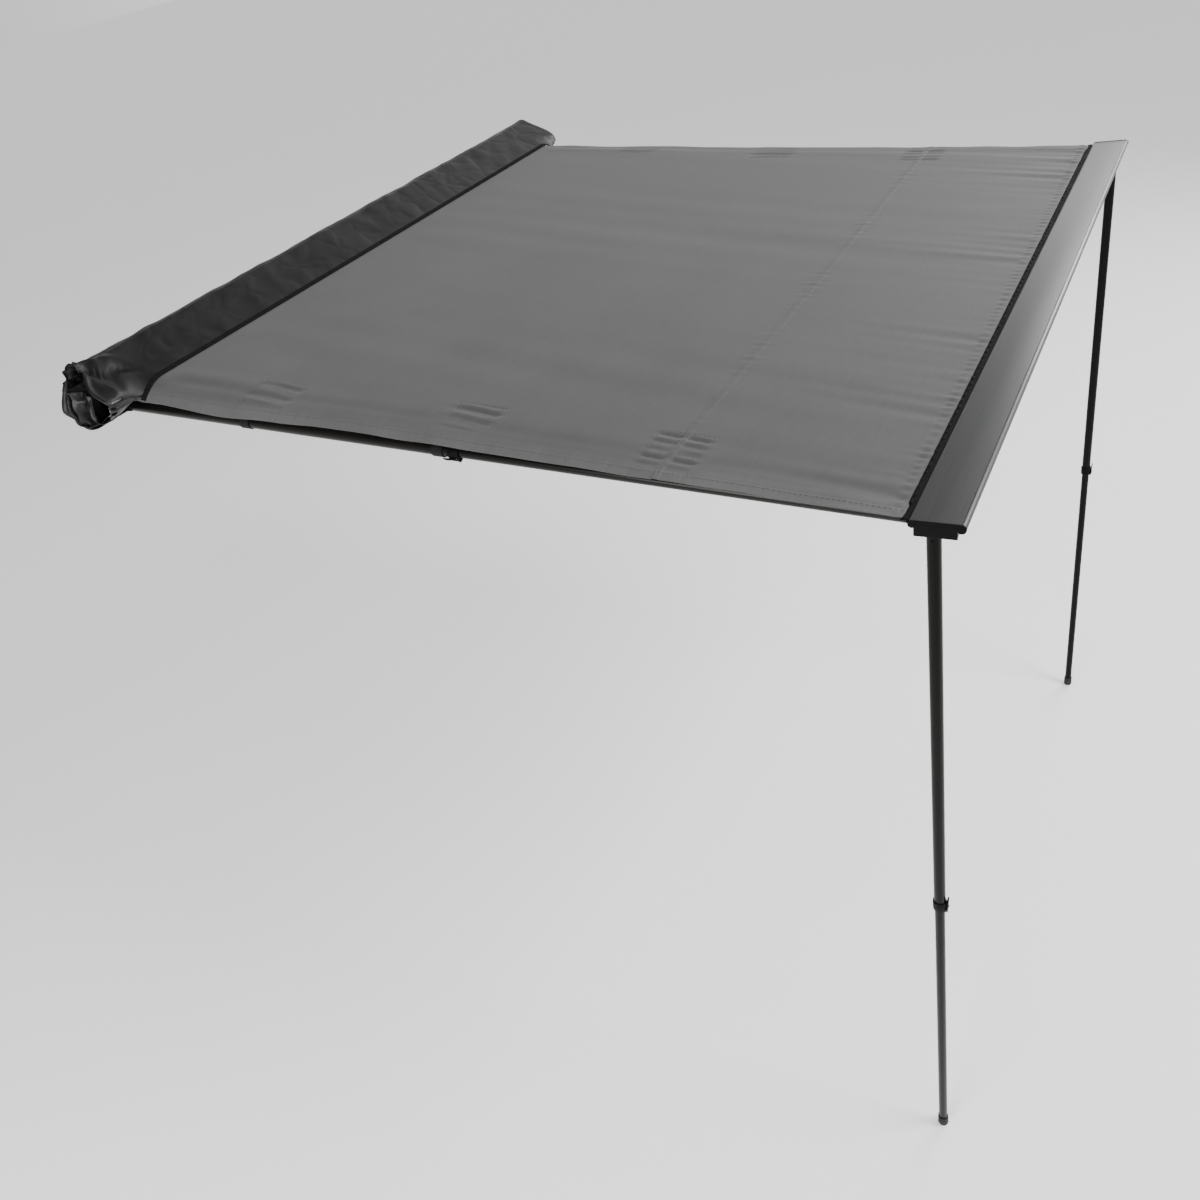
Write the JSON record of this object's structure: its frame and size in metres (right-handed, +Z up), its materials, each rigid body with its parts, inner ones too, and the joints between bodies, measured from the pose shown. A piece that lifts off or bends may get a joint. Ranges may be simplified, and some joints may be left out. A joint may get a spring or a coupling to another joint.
{
  "type": "vehicle side awning",
  "caption": "Pull-out side awning for a roof rack: extruded backboard with an unzipped bag, grey canopy, telescopic arms, front rail and folding telescopic legs.",
  "frame": {"origin": "centre of the backboard's rear face, the face that bolts to the roof rack", "axes": "+X away from the vehicle, +Y along the vehicle from the near end to the far end, +Z up"},
  "size_m": [2.1144, 2.1315, 2.2772],
  "materials": {
    "anodised_grey": "grey anodised, satin",
    "black_anodised": "black anodised, satin",
    "black_nylon": "moulded, fine texture",
    "rubber": "matte",
    "zinc_steel": "zinc plated",
    "canopy_cloth": "coated polycotton canvas, grey",
    "bag_cloth": "coated heavy cloth, dark grey with a soft shine",
    "webbing": "woven webbing, black"
  },
  "bodies": {
    "awning_base": {"backboard": "anodised_grey", "backboard_cap_near": "black_nylon", "backboard_cap_far": "black_nylon", "rack_bolt_1": "zinc_steel", "rack_bolt_2": "zinc_steel", "rack_bolt_3": "zinc_steel", "rack_bolt_4": "zinc_steel", "canopy": "canopy_cloth", "canopy_keder": "webbing", "bag_top_panel": "bag_cloth", "bag_lower_panel": "bag_cloth", "bag_end_near": "bag_cloth", "bag_end_far": "bag_cloth", "near_arm_bracket": "black_anodised", "near_arm_pin": "zinc_steel", "far_arm_bracket": "black_anodised", "far_arm_pin": "zinc_steel"},
    "rail": {"front_rail": "anodised_grey", "front_strip": "webbing", "rail_cap_near": "black_nylon", "rail_cap_far": "black_nylon", "near_leg_bracket": "black_nylon", "far_leg_bracket": "black_nylon", "near_leg_pin": "zinc_steel", "far_leg_pin": "zinc_steel", "near_arm_socket": "zinc_steel", "far_arm_socket": "zinc_steel"},
    "near_arm_outer": {"near_arm_knuckle": "black_nylon", "near_arm_outer_tube": "black_anodised", "near_arm_clamp": "black_nylon", "near_arm_lever_pin": "zinc_steel", "near_arm_strap_1": "webbing", "near_arm_strap_2": "webbing"},
    "near_arm_inner": {"near_arm_inner_tube": "black_anodised", "near_arm_tip": "black_nylon"},
    "near_arm_lever": {"near_arm_lever": "black_nylon"},
    "far_arm_outer": {"far_arm_knuckle": "black_nylon", "far_arm_outer_tube": "black_anodised", "far_arm_clamp": "black_nylon", "far_arm_lever_pin": "zinc_steel", "far_arm_strap_1": "webbing", "far_arm_strap_2": "webbing"},
    "far_arm_inner": {"far_arm_inner_tube": "black_anodised", "far_arm_tip": "black_nylon"},
    "far_arm_lever": {"far_arm_lever": "black_nylon"},
    "near_leg_outer": {"near_leg_knuckle": "black_nylon", "near_leg_outer_tube": "black_anodised", "near_leg_clamp": "black_nylon", "near_leg_lever_pin": "zinc_steel"},
    "near_leg_inner": {"near_leg_inner_tube": "black_anodised", "near_leg_foot": "rubber"},
    "near_leg_lever": {"near_leg_lever": "black_nylon"},
    "far_leg_outer": {"far_leg_knuckle": "black_nylon", "far_leg_outer_tube": "black_anodised", "far_leg_clamp": "black_nylon", "far_leg_lever_pin": "zinc_steel"},
    "far_leg_inner": {"far_leg_inner_tube": "black_anodised", "far_leg_foot": "rubber"},
    "far_leg_lever": {"far_leg_lever": "black_nylon"}
  },
  "joints": [
    {"name": "rail_slide", "type": "slide", "parent": "awning_base", "child": "rail", "axis": [0.9983, 0, -0.0587], "range_m": [-0.8, 0], "deforming": ["canopy"]},
    {"name": "near_arm_swing", "type": "hinge", "parent": "awning_base", "child": "near_arm_outer", "pos_m": [0.05, -0.964, -0.0444], "axis": [0.0587, -0.0183, 0.9981], "range_deg": [0, 90]},
    {"name": "near_arm_extend", "type": "slide", "parent": "near_arm_outer", "child": "near_arm_inner", "axis": [0.9983, 0, -0.0587], "range_m": [-0.8, 0]},
    {"name": "near_arm_lever_hinge", "type": "hinge", "parent": "near_arm_outer", "child": "near_arm_lever", "pos_m": [1.07356, -0.97497, -0.11596], "axis": [0.0407, -0.7199, 0.6929], "range_deg": [0, 100]},
    {"name": "far_arm_swing", "type": "hinge", "parent": "awning_base", "child": "far_arm_outer", "pos_m": [0.05, 0.964, -0.0444], "axis": [-0.0587, 0.0183, -0.9981], "range_deg": [0, 90]},
    {"name": "far_arm_extend", "type": "slide", "parent": "far_arm_outer", "child": "far_arm_inner", "axis": [0.9983, 0, -0.0587], "range_m": [-0.8, 0]},
    {"name": "far_arm_lever_hinge", "type": "hinge", "parent": "far_arm_outer", "child": "far_arm_lever", "pos_m": [1.07359, 0.97537, -0.11556], "axis": [-0.0422, -0.6941, -0.7187], "range_deg": [0, 100]},
    {"name": "near_leg_fold", "type": "hinge", "parent": "rail", "child": "near_leg_outer", "pos_m": [2.015, -0.943, -0.1555], "axis": [1, 0, 0], "range_deg": [0, 88]},
    {"name": "near_leg_extend", "type": "slide", "parent": "near_leg_outer", "child": "near_leg_inner", "axis": [0, 0, 1], "range_m": [0, 0.85]},
    {"name": "near_leg_lever_hinge", "type": "hinge", "parent": "near_leg_outer", "child": "near_leg_lever", "pos_m": [2.0308, -0.943, -1.2035], "axis": [0, 1, 0], "range_deg": [0, 100]},
    {"name": "far_leg_fold", "type": "hinge", "parent": "rail", "child": "far_leg_outer", "pos_m": [2.0485, 0.943, -0.1555], "axis": [-1, 0, 0], "range_deg": [0, 85]},
    {"name": "far_leg_extend", "type": "slide", "parent": "far_leg_outer", "child": "far_leg_inner", "axis": [0, 0, 1], "range_m": [0, 0.85]},
    {"name": "far_leg_lever_hinge", "type": "hinge", "parent": "far_leg_outer", "child": "far_leg_lever", "pos_m": [2.0643, 0.943, -1.2035], "axis": [0, 1, 0], "range_deg": [0, 100]}
  ],
  "couplings": [
    {"joint": "near_arm_extend", "follows": "rail_slide", "ratio": 1},
    {"joint": "far_arm_extend", "follows": "rail_slide", "ratio": 1}
  ]
}
